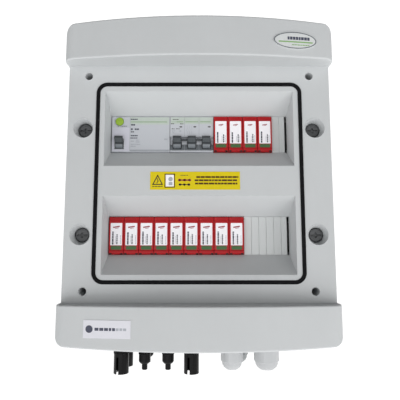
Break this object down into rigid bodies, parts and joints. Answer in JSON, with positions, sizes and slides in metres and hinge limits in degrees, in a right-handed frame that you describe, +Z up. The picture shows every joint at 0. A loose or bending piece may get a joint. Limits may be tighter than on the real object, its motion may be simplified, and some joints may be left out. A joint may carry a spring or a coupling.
{
  "type": "dc combiner box",
  "caption": "Wall-mounted plastic solar combiner box with two windows of rail-mounted breakers and pull-out surge arrester cartridges, cable glands and solar connectors below.",
  "frame": {"origin": "centre of the back face, on the wall", "axes": "-Y out of the front, +X to the right seen from the front, +Z up"},
  "size_m": [0.314, 0.145, 0.415],
  "materials": {
    "enclosure": "fine satin",
    "seal_rubber": "matt",
    "cover_screw": "satin",
    "rail_steel": "galvanised",
    "screw_steel": "zinc plated",
    "device_grey": "satin",
    "lever_dark": "satin",
    "button_green": "gloss",
    "arrester_base": "satin",
    "arrester_red": "satin",
    "strip_grey": "satin",
    "sticker_yellow": "printed film",
    "badge": "gloss",
    "label_white": "film",
    "connector_black": "semi-gloss",
    "gland_grey": "satin",
    "gland_rubber": "matt",
    "bar_brass": "machined"
  },
  "bodies": {
    "base": {"base_box": "enclosure", "rail_upper": "rail_steel", "rail_lower": "rail_steel", "rail_screws": "screw_steel", "rcd_case": "device_grey", "mcb_case": "device_grey", "surge_base_upper": "arrester_base", "surge_base_lower_1": "arrester_base", "surge_base_lower_2": "arrester_base", "surge_base_lower_3": "arrester_base", "earth_bar": "bar_brass", "neutral_bar": "bar_brass", "bar_screws": "screw_steel", "screw_sleeves": "screw_steel", "pv_connector_1": "connector_black", "pv_connector_2": "connector_black", "pv_connector_3": "connector_black", "pv_connector_4": "connector_black", "pv_connector_5": "connector_black", "pv_connector_6": "connector_black", "pv_connector_nuts": "connector_black", "gland_body_1": "gland_grey", "gland_nut_1": "gland_grey", "gland_seal_1": "gland_rubber", "gland_body_2": "gland_grey", "gland_nut_2": "gland_grey", "gland_seal_2": "gland_rubber", "gland_body_3": "gland_grey", "gland_nut_3": "gland_grey", "gland_seal_3": "gland_rubber", "gland_locknut_large": "gland_grey", "gland_locknuts_small": "gland_grey"},
    "cover": {"front_cover": "enclosure", "door_seal": "seal_rubber", "cover_gasket": "seal_rubber", "blank_upper": "strip_grey", "blank_lower": "strip_grey", "warning_sticker": "sticker_yellow", "badge_plate": "badge", "blank_label": "label_white"},
    "screw_upper_left": {"cover_screw_upper_left": "cover_screw"},
    "screw_upper_right": {"cover_screw_upper_right": "cover_screw"},
    "screw_lower_left": {"cover_screw_lower_left": "cover_screw"},
    "screw_lower_right": {"cover_screw_lower_right": "cover_screw"},
    "rcd_lever": {"rcd_toggle": "lever_dark"},
    "rcd_button": {"rcd_test_button": "button_green"},
    "mcb_lever": {"mcb_toggle": "lever_dark"},
    "cartridge_upper_1": {"surge_plug_upper_1": "arrester_red"},
    "cartridge_upper_2": {"surge_plug_upper_2": "arrester_red"},
    "cartridge_upper_3": {"surge_plug_upper_3": "arrester_red"},
    "cartridge_upper_4": {"surge_plug_upper_4": "arrester_red"},
    "cartridge_lower_1": {"surge_plug_lower_1": "arrester_red"},
    "cartridge_lower_2": {"surge_plug_lower_2": "arrester_red"},
    "cartridge_lower_3": {"surge_plug_lower_3": "arrester_red"},
    "cartridge_lower_4": {"surge_plug_lower_4": "arrester_red"},
    "cartridge_lower_5": {"surge_plug_lower_5": "arrester_red"},
    "cartridge_lower_6": {"surge_plug_lower_6": "arrester_red"},
    "cartridge_lower_7": {"surge_plug_lower_7": "arrester_red"},
    "cartridge_lower_8": {"surge_plug_lower_8": "arrester_red"},
    "cartridge_lower_9": {"surge_plug_lower_9": "arrester_red"}
  },
  "joints": [
    {"name": "cover_lift", "type": "slide", "parent": "base", "child": "cover", "axis": [0, -1, 0], "range_m": [0, 0.06]},
    {"name": "screw_turn_upper_left", "type": "hinge", "parent": "cover", "child": "screw_upper_left", "pos_m": [-0.136, -0.097, 0.0625], "axis": [0, 1, 0], "range_deg": [0, 90]},
    {"name": "screw_turn_upper_right", "type": "hinge", "parent": "cover", "child": "screw_upper_right", "pos_m": [0.136, -0.097, 0.0625], "axis": [0, 1, 0], "range_deg": [0, 90]},
    {"name": "screw_turn_lower_left", "type": "hinge", "parent": "cover", "child": "screw_lower_left", "pos_m": [-0.136, -0.097, -0.0625], "axis": [0, 1, 0], "range_deg": [0, 90]},
    {"name": "screw_turn_lower_right", "type": "hinge", "parent": "cover", "child": "screw_lower_right", "pos_m": [0.136, -0.097, -0.0625], "axis": [0, 1, 0], "range_deg": [0, 90]},
    {"name": "rcd_switch", "type": "hinge", "parent": "base", "child": "rcd_lever", "pos_m": [-0.0985, -0.085, 0.05], "axis": [1, 0, 0], "range_deg": [0, 80]},
    {"name": "rcd_test_press", "type": "slide", "parent": "base", "child": "rcd_button", "axis": [0, 1, 0], "range_m": [0, 0.0012], "stiffness_N_per_m": 400},
    {"name": "mcb_switch", "type": "hinge", "parent": "base", "child": "mcb_lever", "pos_m": [-0.009, -0.085, 0.05], "axis": [1, 0, 0], "range_deg": [0, 80]},
    {"name": "cartridge_upper_1_pull", "type": "slide", "parent": "base", "child": "cartridge_upper_1", "axis": [0, -1, 0], "range_m": [0, 0.04]},
    {"name": "cartridge_upper_2_pull", "type": "slide", "parent": "base", "child": "cartridge_upper_2", "axis": [0, -1, 0], "range_m": [0, 0.04]},
    {"name": "cartridge_upper_3_pull", "type": "slide", "parent": "base", "child": "cartridge_upper_3", "axis": [0, -1, 0], "range_m": [0, 0.04]},
    {"name": "cartridge_upper_4_pull", "type": "slide", "parent": "base", "child": "cartridge_upper_4", "axis": [0, -1, 0], "range_m": [0, 0.04]},
    {"name": "cartridge_lower_1_pull", "type": "slide", "parent": "base", "child": "cartridge_lower_1", "axis": [0, -1, 0], "range_m": [0, 0.04]},
    {"name": "cartridge_lower_2_pull", "type": "slide", "parent": "base", "child": "cartridge_lower_2", "axis": [0, -1, 0], "range_m": [0, 0.04]},
    {"name": "cartridge_lower_3_pull", "type": "slide", "parent": "base", "child": "cartridge_lower_3", "axis": [0, -1, 0], "range_m": [0, 0.04]},
    {"name": "cartridge_lower_4_pull", "type": "slide", "parent": "base", "child": "cartridge_lower_4", "axis": [0, -1, 0], "range_m": [0, 0.04]},
    {"name": "cartridge_lower_5_pull", "type": "slide", "parent": "base", "child": "cartridge_lower_5", "axis": [0, -1, 0], "range_m": [0, 0.04]},
    {"name": "cartridge_lower_6_pull", "type": "slide", "parent": "base", "child": "cartridge_lower_6", "axis": [0, -1, 0], "range_m": [0, 0.04]},
    {"name": "cartridge_lower_7_pull", "type": "slide", "parent": "base", "child": "cartridge_lower_7", "axis": [0, -1, 0], "range_m": [0, 0.04]},
    {"name": "cartridge_lower_8_pull", "type": "slide", "parent": "base", "child": "cartridge_lower_8", "axis": [0, -1, 0], "range_m": [0, 0.04]},
    {"name": "cartridge_lower_9_pull", "type": "slide", "parent": "base", "child": "cartridge_lower_9", "axis": [0, -1, 0], "range_m": [0, 0.04]}
  ]
}
